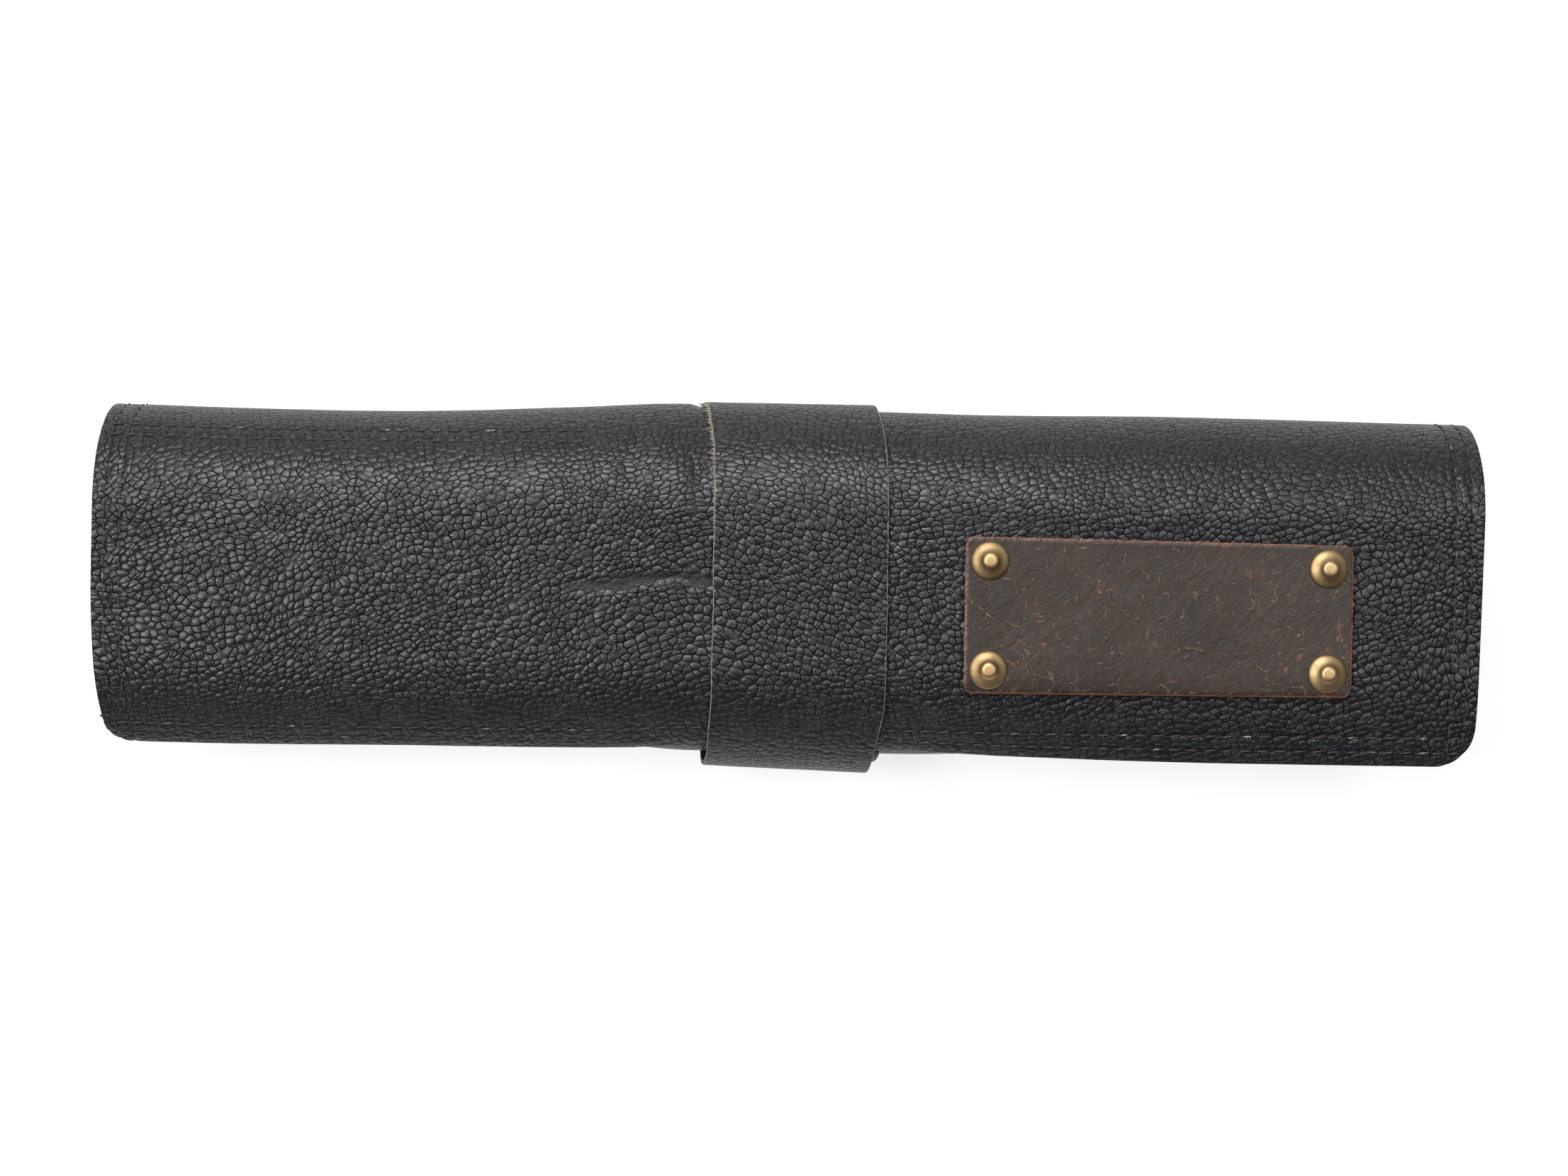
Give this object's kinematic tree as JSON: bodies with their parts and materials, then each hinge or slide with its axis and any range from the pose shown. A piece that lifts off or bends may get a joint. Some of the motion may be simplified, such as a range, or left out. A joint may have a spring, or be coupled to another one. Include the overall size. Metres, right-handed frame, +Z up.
{
  "type": "chef knife roll",
  "caption": "Rolled leather knife roll held shut by a broad loose leather band, with a riveted brown leather patch on its front face.",
  "frame": {"origin": "on the surface the roll lies on, under the middle of the whole thing's bounding box", "axes": "+X along the roll, towards the end that carries the patch; +Y across it, away from the flap's free edge; +Z up, out of the front face with the patch"},
  "size_m": [0.48, 0.1316, 0.0753],
  "materials": {
    "leather_roll": "black pebble grain, satin",
    "closure_band": "black pebble grain, satin, with raw cut edges",
    "patch": "dark brown waxed leather with fine light cracks",
    "rivets": "aged, half polished"
  },
  "bodies": {
    "root": {"leather_roll": "leather_roll", "closure_band": "closure_band", "patch": "patch", "rivet_upper_left": "rivets", "rivet_lower_left": "rivets", "rivet_upper_right": "rivets", "rivet_lower_right": "rivets"}
  },
  "joints": []
}
